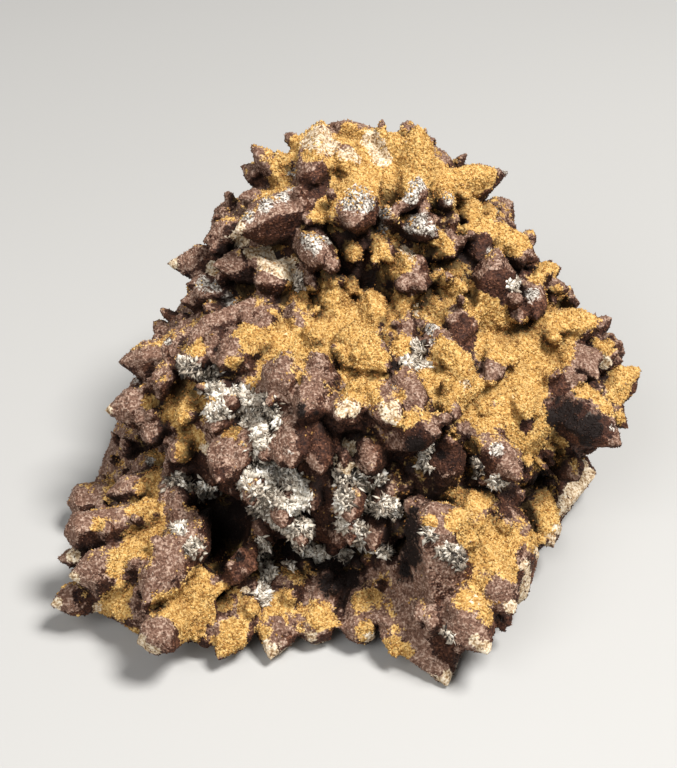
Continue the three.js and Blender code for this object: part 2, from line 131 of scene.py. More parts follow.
# Calcite that is laid bare.
CREAM_ZONES = [
    (321, 140, 14), (310, 140, 10), (331, 148, 9), (346, 153, 8), (378, 150, 10), (381, 158, 9),
    (370, 140, 8), (356, 158, 5), (170, 263, 9), (169, 255, 7), (176, 273, 7), (236, 226, 8),
    (241, 240, 9), (262, 253, 9), (271, 262, 11), (285, 266, 11), (296, 276, 8), (213, 268, 8),
    (252, 250, 8), (415, 314, 5), (413, 304, 5), (351, 408, 8), (341, 412, 7), (390, 410, 9),
    (395, 417, 7), (406, 251, 6), (413, 259, 5), (346, 461, 12), (347, 451, 11), (345, 470, 12),
    (466, 384, 5), (604, 363, 7), (594, 464, 10), (588, 476, 14), (578, 492, 14), (567, 508, 11),
    (560, 528, 7), (550, 540, 7), (538, 552, 7), (526, 584, 8), (521, 598, 7), (526, 566, 7),
    (528, 576, 6), (486, 648, 8), (476, 640, 6), (447, 681, 8), (511, 607, 7), (625, 431, 5),
    (270, 650, 10), (311, 637, 5), (370, 637, 5), (151, 652, 8), (141, 641, 6), (216, 656, 6),
    (72, 578, 7), (55, 603, 7), (73, 556, 7), (67, 507, 5), (97, 608, 5), (106, 410, 5), (206, 450, 6),
    (246, 590, 4),
]
# Brown faces without dust or painted light.
BARE_ZONES = [
    (491, 281, 18), (482, 246, 13), (478, 266, 10), (561, 416, 16), (580, 411, 15), (596, 431, 16),
    (560, 386, 12), (312, 181, 18), (275, 228, 15), (461, 328, 14), (466, 341, 12), (451, 456, 14),
    (490, 458, 12), (416, 431, 14), (591, 338, 11), (601, 376, 11), (535, 311, 12), (526, 268, 12),
    (320, 445, 18), (215, 470, 12), (500, 190, 9), (240, 562, 16), (232, 575, 12),
]
# Hollows and shaded faces, painted near black: painted shade.
DARK_ZONES = [
    (300, 413, 12), (316, 413, 8), (225, 525, 22), (209, 511, 15), (236, 531, 15), (215, 546, 12),
    (410, 541, 12), (412, 561, 10), (408, 521, 8), (415, 446, 14), (326, 561, 22), (351, 581, 18),
    (290, 551, 13), (330, 585, 18), (408, 530, 19), (410, 551, 21), (405, 571, 15), (415, 511, 8),
    (440, 455, 7), (240, 510, 14), (300, 556, 12), (242, 560, 12), (565, 412, 24), (590, 428, 22),
    (345, 270, 9), (330, 266, 7), (370, 285, 8), (390, 284, 7), (395, 365, 9), (425, 352, 6),
    (237, 385, 9),
]

# Runs of white blades: half width, and the columns and rows that a run goes through.
BLADE_RUNS = [
    (7, [(182, 368), (200, 372), (215, 378)]), (6, [(205, 385), (222, 392)]),
    (8, [(235, 393), (250, 402), (268, 404)]), (6, [(215, 412), (235, 408)]),
    (9, [(245, 415), (255, 425), (262, 440)]), (8, [(270, 410), (276, 425), (274, 438)]),
    (7, [(250, 447), (258, 455), (265, 465)]), (9, [(258, 465), (272, 475), (290, 480), (300, 490)]),
    (8, [(248, 485), (262, 495), (280, 498)]), (9, [(262, 510), (280, 520), (298, 525), (305, 538)]),
    (7, [(285, 510), (300, 505)]), (6, [(245, 478), (252, 470)]), (5, [(265, 545), (262, 556)]),
    (5, [(262, 562), (270, 570), (266, 576)]), (5, [(262, 585), (263, 600)]),
    (4, [(290, 562), (292, 566)]), (7, [(303, 552), (315, 553), (330, 550), (345, 556)]),
    (8, [(345, 478), (360, 480), (378, 480)]), (8, [(345, 500), (360, 505), (375, 508)]),
    (8, [(345, 525), (360, 535), (370, 548)]), (6, [(385, 500), (392, 512)]),
    (6, [(380, 545), (385, 552)]), (5, [(345, 520), (355, 518)]), (6, [(170, 480), (180, 478)]),
    (7, [(185, 485), (200, 490), (212, 488)]), (5, [(178, 525), (180, 535)]),
    (6, [(190, 545), (198, 550)]), (7, [(445, 553), (458, 560)]), (5, [(428, 535), (428, 540)]),
    (6, [(428, 450), (425, 462)]), (5, [(478, 465), (485, 480)]), (6, [(490, 485), (498, 480)]),
    (6, [(512, 285), (510, 300)]), (6, [(418, 345), (412, 360)]), (5, [(405, 360), (425, 365)]),
    (4, [(300, 278), (302, 286)]), (4, [(395, 470), (400, 475)]), (4, [(445, 632), (452, 640)]),
]

# Small crystals of the front wall: columns and rows of root and tip, then how much nearer the tip
# stands and the radius, in millimetres.
WALL_TEETH = [
    (295, 425, 291, 470, 5, 4.0), (370, 444, 372, 474, 4, 3.0), (343, 476, 346, 446, 3, 1.8),
    (318, 440, 322, 476, 4, 3.2), (376, 512, 374, 553, 5, 3.5), (255, 482, 252, 506, 4, 2.8),
    (282, 500, 284, 530, 4, 3.0), (352, 496, 350, 524, 4, 2.8), (312, 490, 314, 512, 3, 2.4),
    (262, 520, 262, 548, 3, 2.4), (300, 528, 303, 548, 3, 2.2), (338, 530, 342, 550, 3, 2.2),
    (390, 470, 394, 500, 4, 2.6), (246, 440, 240, 470, 4, 2.8), (180, 500, 178, 530, 4, 2.6),
    (268, 446, 262, 462, 3, 2.0), (236, 572, 258, 540, -2.5, 2.3), (246, 557, 254, 572, 4, 1.8),
    (236, 572, 229, 563, 5, 1.8), (240, 566, 247, 573, 5.5, 1.8), (246, 557, 239, 551, 5, 1.7),
    (238, 570, 235, 583, 5, 1.8), (236, 570, 226, 584, 3, 2.2), (258, 566, 252, 582, 2, 2.2),
    (240, 566, 230, 560, 3, 1.8),
]

# How much less a zone reaches along the sight lines than across them.
DEPTH_SHARE = 0.5

# Small teeth in the hollows between the large ones, and the fineness of the crust.
SMALL_TEETH = 420
SMALL_LENGTH = (1.5 * MM, 5.0 * MM)
SMALL_RADIUS = (0.9 * MM, 2.2 * MM)
SMALL_RELIEF = 0.8 * MM
SMALL_TRIES = 3
SMALL_NORMAL = 0.5
SMALL_SCATTER = 0.4
VOXEL = 0.5 * MM
ROUNDING_STEPS = 1
ROUNDING = 0.5
CRUST_TRIANGLES = 196000
BASE_VOXEL = 3.2 * MM
BASE_ROUNDING_STEPS = 16

# Relief of the crust: size of its cells, height and seed. It fades out above the floor.
LUMPS = (3.6 * MM, 0.2 * MM, 11)
CLODS = (2.0 * MM, 0.2 * MM, 12)
CRUMBS = (1.1 * MM, 0.35 * MM, 13)
LUMP_LEVEL = 0.5
GRAIN_LEVEL = 0.4
FOOT_BAND = (0.2 * MM, 2.5 * MM)

# Rays that find how open a place is.
RAYS = 20
RAY_REACH = 14 * MM
RAY_START = 0.25 * MM
RAY_FACING = 0.1

# Mottle of the coats: size of its cells, seed and weight, from patches to specks.
MOTTLE = [(9 * MM, 1, 0.4), (2.4 * MM, 2, 0.7), (1.0 * MM, 3, 0.7)]

# Weights of the zones, the slope, the height over the mound in millimetres, the sky and the mottle.
SEEN_EDGE = (-0.3, 0.1)
UP_NORMAL = 0.6
UP_MOUND = 0.4
ZONE_FLOOR = -0.7
BROWN_FLOOR = -0.15
BROWN_WEIGHT = 1.6
OCHRE_SHIFT = 0.18
OCHRE_UP = 0.35
OCHRE_LEVEL = 0.35
OCHRE_RELIEF = 0.03
OCHRE_MOTTLE = 0.7
GUESS_PATCHES = 2.6
GUESS_UP = 0.3
GUESS_RELIEF = 0.12
FROST_CELLS = 7 * MM
FROST_SEED = 5
FROST_GUESS = 2.2
FROST_GUESS_LEVEL = 0.66
FROST_GUESS_RELIEF = 0.1
FROST_UP = 0.5
FROST_LEVEL = 0.4
CREAM_SHIFT = 0.15
CREAM_MOTTLE = 0.8
RIM_BAND = (1.0 * MM, 3.5 * MM)
RIM_MOTTLE = 3 * MM
RIM_SHARE = 0.7
DARK_MOTTLE = 0.9
BARE_SHIFT = 0.4
BARE_WEIGHT = 1.3
# Dust and painted light: faces turned left get painted light, open places get painted light and hollows
# painted shade.
LEFT_PAINTED_LIGHT = 0.65
SKY_PAINTED_LIGHT = 2.0
SKY_PAINTED_LIGHT_LEVEL = 0.72
DUST_AND_PAINTED_LIGHT_MOTTLE = 0.8
BLADE_MOTTLE = 2.4
BLADE_REACH = (-0.5, -0.1)

# A coat goes from none to all between these.
OCHRE_EDGE = (-0.25, 0.25)
BLADE_EDGE = (-0.1, 0.5)
FROST_EDGE = (-0.25, 0.65)
CREAM_EDGE = (-0.3, 0.4)
DARK_EDGE = (-0.2, 0.65)
DUST_AND_PAINTED_LIGHT_EDGE = (0.15, 0.9)

# Fine pieces: how many of each, how large and in which tones, and how they lie.
OCHRE_GRAINS = 48500
OCHRE_GRAIN_RADIUS = (0.18 * MM, 0.46 * MM)
OCHRE_TONES = (0.0, 1.0)
CRUST_GRAINS = 48500
CRUST_GRAIN_RADIUS = (0.14 * MM, 0.36 * MM)
CRUST_TONES = (0.12, 0.95)
BLADES = 17000
BLADE_LENGTH = (0.6 * MM, 2.6 * MM)
BLADE_WIDTH = (0.2 * MM, 0.8 * MM)
BLADE_THICKNESS = 0.35
BLADE_BELT = 0.55
BLADE_SUNK = 0.25
BLADE_OUT = 0.3
BLADE_LAID = 0.6
BLADE_TONE_CELLS = 3 * MM
BLADE_TONE_SEED = 21
BLADE_TONE_SHARE = 0.6
BLADE_TONE_DROP = 0.1
GRAIN_FLOOR = 1 * MM
GRAIN_SCATTER = 0.6
GRAIN_HEIGHT = 1.6
GRAIN_FOOT = -0.3
OCHRE_START = 0.1
CRUST_SPREAD = 1.02
PALE_HOLD = 0.9
SUNLIT_FLOOR = 0.15
SUNLIT_EDGE = (0.05, 0.6)
# Painted shade for the grains in less open places.
DEEP_EDGE = (0.25, 0.88)
DEEP_SHARE = 0.9

# Whole numbers that scatter lattice points, and the bits that are kept of them.
SCATTER = np.array((374761393, 668265263, 1103515245))
SALT_STEP = 69069
AXIS_SALT = 31
STIR = 1274126177
FIRST_SHIFT = 13
LAST_SHIFT = 15
KEPT_BITS = 0x7FFFFFFF
TONE_BITS = 0xFFFF
SEED_SHIFT = 17.3
TINY = 1e-12


def lattice_values(at, salt):
    """A number from 0 to 1 for each whole-numbered lattice point, the same at each run."""
    mixed = (at @ SCATTER + salt * SALT_STEP) & KEPT_BITS
    mixed = ((mixed ^ (mixed >> FIRST_SHIFT)) * STIR) & KEPT_BITS
    return ((mixed ^ (mixed >> LAST_SHIFT)) & TONE_BITS) / TONE_BITS


def lattice_noise(points, size, seed):
    """Smooth noise from 0 to 1 in lumps of about that size."""
    cells = points / size + SEED_SHIFT * seed
    base = np.floor(cells).astype(np.int64)
    part = cells - base
    part = part * part * (3 - 2 * part)
    total = np.zeros(len(points))
    for corner in np.ndindex(2, 2, 2):
        weight = np.prod(np.where(corner, part, 1 - part), axis=1)
        total += weight * lattice_values(base + corner, seed)
    return total


def grain_noise(points, size, seed):
    """Round grains of about that size, side by side: 1 at a grain's top, towards 0 where grains meet."""
    cells = points / size + SEED_SHIFT * seed
    base = np.floor(cells).astype(np.int64)
    nearest = np.full(len(points), np.inf)
    for corner in np.ndindex(3, 3, 3):
        at = base + corner - 1
        tops = [at[:, i] + lattice_values(at, seed + AXIS_SALT * i) for i in range(3)]
        gap = np.stack(tops, axis=1) - cells
        nearest = np.minimum(nearest, np.einsum("ij,ij->i", gap, gap))
    return 1 - np.minimum(np.sqrt(nearest), 1)


def smooth_step(low, high, values):
    share = np.clip((values - low) / (high - low), 0, 1)
    return share * share * (3 - 2 * share)


def unit(vectors):
    return vectors / np.maximum(np.linalg.norm(vectors, axis=1, keepdims=True), TINY)


def mesh_arrays(mesh):
    """Points, triangles and point normals of a mesh."""
    mesh.calc_loop_triangles()
    points = np.empty(3 * len(mesh.vertices), np.float32)
    mesh.vertices.foreach_get("co", points)
    faces = np.empty(3 * len(mesh.loop_triangles), np.int32)
    mesh.loop_triangles.foreach_get("vertices", faces)
    normals = np.empty(3 * len(mesh.vertices), np.float32)
    mesh.vertex_normals.foreach_get("vector", normals)
    return points.reshape(-1, 3).astype(float), faces.reshape(-1, 3), normals.reshape(-1, 3).astype(float)


def mesh_object(name, points, faces):
    mesh = bpy.data.meshes.new(name)
    mesh.vertices.add(len(points))
    mesh.vertices.foreach_set("co", np.asarray(points, np.float32).ravel())
    mesh.loops.add(faces.size)
    mesh.loops.foreach_set("vertex_index", np.asarray(faces, np.int32).ravel())
    mesh.polygons.add(len(faces))
    mesh.polygons.foreach_set("loop_start", np.arange(0, faces.size, 3, dtype=np.int32))
    mesh.update(calc_edges=True)
    piece = bpy.data.objects.new(name, mesh)
    bpy.context.scene.collection.objects.link(piece)
    return piece


def apply_modifiers(piece):
    """Leaves the piece with the mesh that its modifiers make, and no modifier."""
    evaluated = piece.evaluated_get(bpy.context.evaluated_depsgraph_get())
    made = bpy.data.meshes.new_from_object(evaluated)
    piece.modifiers.clear()
    old = piece.data
    piece.data = made
    bpy.data.meshes.remove(old)


def remesh(piece, voxel, rounding_steps):
    """Joins what overlaps into one skin of even cells, and rounds it."""
    cells = piece.modifiers.new("cells", "REMESH")
    cells.mode = "VOXEL"
    cells.voxel_size = voxel
    rounding = piece.modifiers.new("rounding", "SMOOTH")
    rounding.factor = ROUNDING
    rounding.iterations = rounding_steps
    apply_modifiers(piece)


def surface_samples(points, faces, count, weights=None):
    """Random points on triangles, with the triangles' normals."""
    a, b, c = (points[faces[:, i]] for i in range(3))
    cross = np.cross(b - a, c - a)
    share = np.linalg.norm(cross, axis=1)
    if weights is not None:
        share = share * weights
    picks = RANDOM.choice(len(faces), count, p=share / share.sum())
    u = np.sqrt(RANDOM.random((count, 1)))
    v = RANDOM.random((count, 1))
    at = a[picks] * (1 - u) + b[picks] * (u * (1 - v)) + c[picks] * (u * v)
    return at, unit(cross[picks]), picks


def copies(shape, shape_faces, at, axes, lengths, widths, depths=None):
    """Joined copies of one shape: its Z along each axis, its X and Y as wide and as deep as given."""
    depths = widths if depths is None else depths
    axes = unit(axes)
    side = unit(np.cross(axes, unit(RANDOM.normal(size=axes.shape))))
    other = np.cross(axes, side)
    points = at[:, None, :] + axes[:, None, :] * (shape[None, :, 2:3] * lengths[:, None, None])
    points += side[:, None, :] * (shape[None, :, 0:1] * widths[:, None, None])
    points += other[:, None, :] * (shape[None, :, 1:2] * depths[:, None, None])
    faces = shape_faces[None, :, :] + (np.arange(len(at)) * len(shape))[:, None, None]
    return points.reshape(-1, 3), faces.reshape(-1, 3)


def tooth_shape(sides=6, root=-0.6, shoulder=(0.62, 0.8)):
    """A blunt tooth of unit length and radius: root point, belt, shoulder and tip."""
    turns = np.arange(sides) * 2 * math.pi / sides
    ring = np.stack([np.cos(turns), np.sin(turns), np.zeros(sides)], axis=1)
    neck = ring * shoulder[1] + [0, 0, shoulder[0]]
    points = np.vstack([[0, 0, root], ring, neck, [0, 0, 1]])
    faces = []
    for i in range(sides):
        j = (i + 1) % sides
        low, low_next, high, high_next = 1 + i, 1 + j, 1 + sides + i, 1 + sides + j
        faces += [(0, low_next, low), (low, low_next, high_next), (low, high_next, high)]
        faces.append((high, high_next, 1 + 2 * sides))
    return points, np.array(faces)


def spindle_shape(belt_height):
    """A four-sided spindle of unit length: a point at each end and its belt at that height."""
    belt = [[1, 0, belt_height], [0, 1, belt_height], [-1, 0, belt_height], [0, -1, belt_height]]
    points = np.array([[0, 0, 0], *belt, [0, 0, 1]], float)
    faces = [(0, 1 + (i + 1) % 4, 1 + i) for i in range(4)] + [(1 + i, 1 + (i + 1) % 4, 5) for i in range(4)]
    return points, np.array(faces)


def between(bounds, count):
    return bounds[0] + (bounds[1] - bounds[0]) * RANDOM.random(count)


# Sight lines of the photograph's view

def sight_line(x, y):
    line = LOOK * FOCAL_PIXELS + LOOK_UP * (PICTURE_HEIGHT / 2 - y)
    return (line + Vector((x - PICTURE_WIDTH / 2, 0, 0))).normalized()


SOLID_POINTS, SOLID_FACES, _ = mesh_arrays(SOLID.data)
SOLID_TREE = BVHTree.FromPolygons(SOLID_POINTS.tolist(), SOLID_FACES.tolist())


def picture_places(points):
    """Columns, rows and depths of points in the photograph's view."""
    offsets = points - np.array(EYE)
    depths = offsets @ np.array(LOOK)
    columns = PICTURE_WIDTH / 2 + FOCAL_PIXELS * offsets[:, 0] / depths
    rows = PICTURE_HEIGHT / 2 - FOCAL_PIXELS * (offsets @ np.array(LOOK_UP)) / depths
    return columns, rows, depths


def zone_share(places, zones):
    """How deep each point lies in the nearest zone: 1 at its middle, 0 at its rim, down to -1 outside."""
    columns, rows, depths = places
    share = np.full(len(depths), -1.0)
    for x, y, radius in zones:
        middle = SOLID_TREE.ray_cast(EYE, sight_line(x, y))[0]
        if middle is None:
            continue
        depth = (middle - EYE).dot(LOOK)
        along = (depths - depth) * DEPTH_SHARE * FOCAL_PIXELS / depth
        gap = np.sqrt((columns - x) ** 2 + (rows - y) ** 2 + along**2)
        share = np.maximum(share, 1 - gap / radius)
    return share


def run_zones(runs):
    """Overlapping zones along each run."""
    zones = []
    for radius, stops in runs:
        for (x, y), (next_x, next_y) in zip(stops, stops[1:]):
            steps = math.ceil(2 * math.hypot(next_x - x, next_y - y) / radius)
            for i in range(steps + 1):
                zones.append((x + (next_x - x) * i / steps, y + (next_y - y) * i / steps, radius))
    return zones


# The crust: the solid and small teeth in one skin

def base_form():
    """The mound without its teeth, as a search tree: how far a point stands out of it is its relief."""
    form = mesh_object("mound", SOLID_POINTS, SOLID_FACES)
    remesh(form, BASE_VOXEL, BASE_ROUNDING_STEPS)
    points, faces, _ = mesh_arrays(form.data)
    mesh = form.data
    bpy.data.objects.remove(form)
    bpy.data.meshes.remove(mesh)
    return BVHTree.FromPolygons(points.tolist(), faces.tolist())


def relief_and_slope(points, tree):
    """Height of each point over the mound, and the mound's normal below it."""
    heights = np.empty(len(points))
    slopes = np.empty((len(points), 3))
    for i, point in enumerate(points):
        near, normal, _, _ = tree.find_nearest(point)
        heights[i] = (Vector(point) - near).dot(normal)
        slopes[i] = normal
    return heights, slopes


def wall_teeth():
    """The small crystals of the front wall: their roots lie on the solid."""
    roots, tips, radii = [], [], []
    for root_x, root_y, tip_x, tip_y, nearer, radius in WALL_TEETH:
        root = SOLID_TREE.ray_cast(EYE, sight_line(root_x, root_y))[0]
        tip_line = sight_line(tip_x, tip_y)
        tip_depth = (root - EYE).dot(LOOK) - nearer * MM
        roots.append(root)
        tips.append(EYE + tip_line * (tip_depth / tip_line.dot(LOOK)))
        radii.append(radius * MM)
    axes = np.array(tips) - np.array(roots)
    lengths = np.linalg.norm(axes, axis=1)
    return copies(*tooth_shape(), np.array(roots), axes, lengths, np.array(radii))


def crust_piece(mound):
    at, normals, _ = surface_samples(SOLID_POINTS, SOLID_FACES, SMALL_TRIES * SMALL_TEETH)
    relief, slopes = relief_and_slope(at, mound)
    kept = np.flatnonzero((at[:, 2] > SMALL_LENGTH[1]) & (relief < SMALL_RELIEF))[:SMALL_TEETH]
    at = at[kept]
    axes = SMALL_NORMAL * normals[kept] + slopes[kept] + SMALL_SCATTER * RANDOM.normal(size=at.shape)
    teeth, tooth_faces = copies(
        *tooth_shape(), at, axes, between(SMALL_LENGTH, len(at)), between(SMALL_RADIUS, len(at))
    )
    wall, wall_faces = wall_teeth()
    points = np.vstack([SOLID_POINTS, teeth, wall])
    wall_faces = wall_faces + len(SOLID_POINTS) + len(teeth)
    faces = np.vstack([SOLID_FACES, tooth_faces + len(SOLID_POINTS), wall_faces])
    piece = mesh_object("oxide_crust", points, faces)
    remesh(piece, VOXEL, ROUNDING_STEPS)
    return piece


def roughen(piece):
    """Lumps and grains of the crust, raised along its normals. Its foot stays on the floor."""
    points, _, normals = mesh_arrays(piece.data)
    size, height, seed = LUMPS
    rise = height * (lattice_noise(points, size, seed) - LUMP_LEVEL)
    for size, height, seed in (CLODS, CRUMBS):
        rise = rise + height * (grain_noise(points, size, seed) - GRAIN_LEVEL)
    lifted = smooth_step(*FOOT_BAND, points[:, 2])
    points += normals * (rise * lifted)[:, None]
    points[:, 2] = np.maximum(points[:, 2], 0)
    piece.data.vertices.foreach_set("co", points.astype(np.float32).ravel())
    piece.data.update()
    piece.data.calc_loop_triangles()
    triangles = len(piece.data.loop_triangles)
    if triangles > CRUST_TRIANGLES:
        thinning = piece.modifiers.new("thinning", "DECIMATE")
        thinning.ratio = CRUST_TRIANGLES / triangles
        apply_modifiers(piece)


def openness(points, faces, normals):
    """The share of the rays out of each point that meet nothing near: 1 on a tip, 0 deep in a gap."""
    tree = BVHTree.FromPolygons(points.tolist(), faces.tolist())
    steps = np.arange(RAYS) + 0.5
    heights = 1 - 2 * steps / RAYS
    turns = steps * math.pi * (3 - math.sqrt(5))
    flat = np.sqrt(1 - heights**2)
    ways = np.stack([flat * np.cos(turns), flat * np.sin(turns), heights], axis=1)
    facing = normals @ ways.T
    starts = points + RAY_START * normals
    free = np.zeros(len(points))
    total = np.zeros(len(points))
    for k, way in enumerate(ways):
        out = np.flatnonzero(facing[:, k] > RAY_FACING)
        total[out] += facing[out, k]
        vector = Vector(way)
        for i in out:
            if tree.ray_cast(starts[i], vector, RAY_REACH)[0] is None:
                free[i] += facing[i, k]
    return free / np.maximum(total, TINY)


def coat_masks(points, faces, normals, mound):
    """Shares of each coat, and of open sky, at each point."""
    relief, slope = relief_and_slope(points, mound)
    places = picture_places(points)
    seen = smooth_step(*SEEN_EDGE, -(slope @ np.array(LOOK)))
    upward = UP_NORMAL * normals[:, 2] + UP_MOUND * slope[:, 2]
    noises = [lattice_noise(points, size, seed) - 0.5 for size, seed, _ in MOTTLE]
    mottle = sum(weight * noise for (_, _, weight), noise in zip(MOTTLE, noises))
    sky = openness(points, faces, normals)

    brown = np.maximum(zone_share(places, BROWN_ZONES), BROWN_FLOOR)
    placed = np.maximum(zone_share(places, OCHRE_ZONES), ZONE_FLOOR) + OCHRE_SHIFT - BROWN_WEIGHT * brown
    guessed = GUESS_PATCHES * noises[0] + GUESS_UP * upward - GUESS_RELIEF * relief / MM
    ochre = seen * placed + (1 - seen) * guessed
    ochre = ochre + OCHRE_UP * (upward - OCHRE_LEVEL) - OCHRE_RELIEF * relief / MM + OCHRE_MOTTLE * mottle

    frost_noise = lattice_noise(points, FROST_CELLS, FROST_SEED)
    placed = np.maximum(zone_share(places, FROST_ZONES), ZONE_FLOOR)
    guessed = FROST_GUESS * (frost_noise - FROST_GUESS_LEVEL) + FROST_GUESS_RELIEF * relief / MM
    frost = seen * placed + (1 - seen) * guessed + FROST_UP * (upward - FROST_LEVEL) + mottle

    placed = np.maximum(zone_share(places, CREAM_ZONES), ZONE_FLOOR)
    cream = placed * seen + ZONE_FLOOR * (1 - seen) + CREAM_SHIFT + CREAM_MOTTLE * mottle
    rim = 1 - smooth_step(*RIM_BAND, points[:, 2] + RIM_MOTTLE * mottle)

    runs = zone_share(places, run_zones(BLADE_RUNS))
    blades = smooth_step(*BLADE_EDGE, runs + BLADE_MOTTLE * mottle) * smooth_step(*BLADE_REACH, runs)
    # Painted shade over the dark zones.
    dark = zone_share(places, DARK_ZONES) + DARK_MOTTLE * mottle
    bare = np.clip(zone_share(places, BARE_ZONES) + BARE_SHIFT, 0, 1)
    # Dust and painted light: dust and painted light on upward faces, painted light on faces turned left and
    # on open tips, painted shade in hollows.
    dust_and_painted_light = upward - LEFT_PAINTED_LIGHT * normals[:, 0] + SKY_PAINTED_LIGHT * (sky - SKY_PAINTED_LIGHT_LEVEL)
    dust_and_painted_light = dust_and_painted_light + DUST_AND_PAINTED_LIGHT_MOTTLE * mottle - BARE_WEIGHT * bare
    return {
        "ochre": smooth_step(*OCHRE_EDGE, ochre),
        "blades": blades * seen,
        "frost": smooth_step(*FROST_EDGE, frost),
        "cream": np.maximum(smooth_step(*CREAM_EDGE, cream), RIM_SHARE * rim),
        "dark": smooth_step(*DARK_EDGE, dark) * seen,
        "dust_and_painted_light": smooth_step(*DUST_AND_PAINTED_LIGHT_EDGE, dust_and_painted_light),
        "open": sky,
    }


def set_attribute(mesh, name, values):
    attribute = mesh.attributes.new(name, "FLOAT", "POINT")
    attribute.data.foreach_set("value", np.asarray(values, np.float32))


# Materials

SPECULAR = 0.2


def new_material(name):
    material = bpy.data.materials.new(name)
    material.use_nodes = True
    tree = material.node_tree
    shader = tree.nodes["Principled BSDF"]
    shader.inputs["Specular IOR Level"].default_value = SPECULAR
    return material, tree, shader


def link(tree, value, socket):
    """Sets a socket to a number, a colour or what another socket gives."""
    if isinstance(value, bpy.types.NodeSocket):
        tree.links.new(value, socket)
    else:
        socket.default_value = value


def noise_node(tree, coordinates, size, detail):
    node = tree.nodes.new("ShaderNodeTexNoise")
    node.inputs["Scale"].default_value = 1 / size
    node.inputs["Detail"].default_value = detail
    tree.links.new(coordinates, node.inputs["Vector"])
    return node.outputs["Fac"]


def ramp_node(tree, factor, stops):
    node = tree.nodes.new("ShaderNodeValToRGB")
    ramp = node.color_ramp
    for _ in range(len(stops) - 2):
        ramp.elements.new(0.5)
    for element, (place, colour) in zip(ramp.elements, stops):
        element.position = place
        element.color = (*colour, 1)
    tree.links.new(factor, node.inputs["Fac"])
    return node.outputs["Color"]


def math_node(tree, operation, a, b):
    node = tree.nodes.new("ShaderNodeMath")
    node.operation = operation
    link(tree, a, node.inputs[0])
    link(tree, b, node.inputs[1])
    return node.outputs[0]


def range_node(tree, value, low, high, to_low=0.0, to_high=1.0):
    node = tree.nodes.new("ShaderNodeMapRange")
    node.interpolation_type = "SMOOTHSTEP"
    tree.links.new(value, node.inputs["Value"])
    for name, number in (("From Min", low), ("From Max", high), ("To Min", to_low), ("To Max", to_high)):
        node.inputs[name].default_value = number
    return node.outputs["Result"]


def mix_node(tree, factor, a, b):
    node = tree.nodes.new("ShaderNodeMix")
    node.data_type = "RGBA"
    link(tree, factor, node.inputs["Factor"])
    link(tree, a, node.inputs["A"])
    link(tree, b, node.inputs["B"])
    return node.outputs["Result"]


def attribute_node(tree, name):
    node = tree.nodes.new("ShaderNodeAttribute")
    node.attribute_name = name
    return node.outputs["Fac"]


def bump(tree, shader, height, distance, strength):
    node = tree.nodes.new("ShaderNodeBump")
    node.inputs["Distance"].default_value = distance
    node.inputs["Strength"].default_value = strength
    tree.links.new(height, node.inputs["Height"])
    tree.links.new(node.outputs["Normal"], shader.inputs["Normal"])


def object_coordinates(tree):
    return tree.nodes.new("ShaderNodeTexCoord").outputs["Object"]


# Colours of the coats, from their darkest tone to their lightest

OCHRE_STOPS = [(0.0, (0.24, 0.105, 0.024)), (0.45, (0.49, 0.285, 0.084)), (1.0, (0.69, 0.485, 0.2))]
BROWN_STOPS = [(0.1, (0.012, 0.004, 0.003)), (0.6, (0.065, 0.024, 0.013)), (0.95, (0.2, 0.088, 0.05))]
# Dust and painted light on the brown crust: pale mauve-brown for dust and for light falling on tops and left
# faces.
DUST_AND_PAINTED_LIGHT_STOPS = [(0.05, (0.085, 0.038, 0.024)), (0.55, (0.2, 0.113, 0.078)), (0.95, (0.44, 0.315, 0.245))]
FROST_STOPS = [(0.15, (0.03, 0.018, 0.013)), (0.5, (0.3, 0.26, 0.22)), (0.9, (0.8, 0.76, 0.69))]
# Ochre gone dark brown for painted shade in less open places.
DEEP_STOPS = [(0.0, (0.08, 0.028, 0.01)), (1.0, (0.34, 0.15, 0.04))]
# Near black for painted shade on the grains.
DARK_STOPS = [(0.1, (0.003, 0.002, 0.002)), (0.9, (0.024, 0.01, 0.006))]
CREAM_STOPS = [(0.1, (0.2, 0.115, 0.05)), (0.45, (0.5, 0.37, 0.23)), (0.9, (0.78, 0.69, 0.54))]
BLADE_STOPS = [
    (0.12, (0.03, 0.025, 0.022)), (0.35, (0.27, 0.22, 0.17)),
    (0.6, (0.6, 0.54, 0.45)), (0.9, (0.88, 0.85, 0.78)),
]
# Near black for painted shade in gaps, hollows and the dark zones.
PAINTED_SHADE_COLOUR = (0.007, 0.003, 0.002, 1)

# Noise in the crust: size of its cells and detail, then how much of each is mixed in.
FINE_NOISE = (0.5 * MM, 2)
GRAIN_NOISE = (1.3 * MM, 4)
STAIN_NOISE = (7 * MM, 4)
FINE_SHARE = 0.6
SPECKLE_SHARE = 0.7
NOISE_RANGE = (0.3, 0.7)

# How coats end, how dark the painted shade in the gaps is, and how rough each surface is.
COAT_RANGE = (0.3, 0.7)
COAT_RAGGED = 0.6
BLADE_BED = 0.65
GAP_RANGE = (0.15, 0.88)
GAP_SHADE = 0.94
CREAM_SHADE = 0.4
BUMP_HEIGHT = 0.6 * MM
BUMP_STRENGTH = 1.0
CRUST_ROUGHNESS = 0.7
OCHRE_ROUGHNESS = 0.9
OCHRE_GRAIN_ROUGHNESS = 0.85
CRUST_GRAIN_ROUGHNESS = 0.6
BLADE_ROUGHNESS = 0.5


def spread_tone(tree, value):
    """Noise, which keeps near its middle, spread over 0 to 1."""
    return range_node(tree, value, *NOISE_RANGE)


def blend_node(tree, a, b, share):
    """That share of one value, and another for the rest."""
    part = math_node(tree, "MULTIPLY", a, share)
    return math_node(tree, "ADD", part, math_node(tree, "MULTIPLY", b, 1 - share))


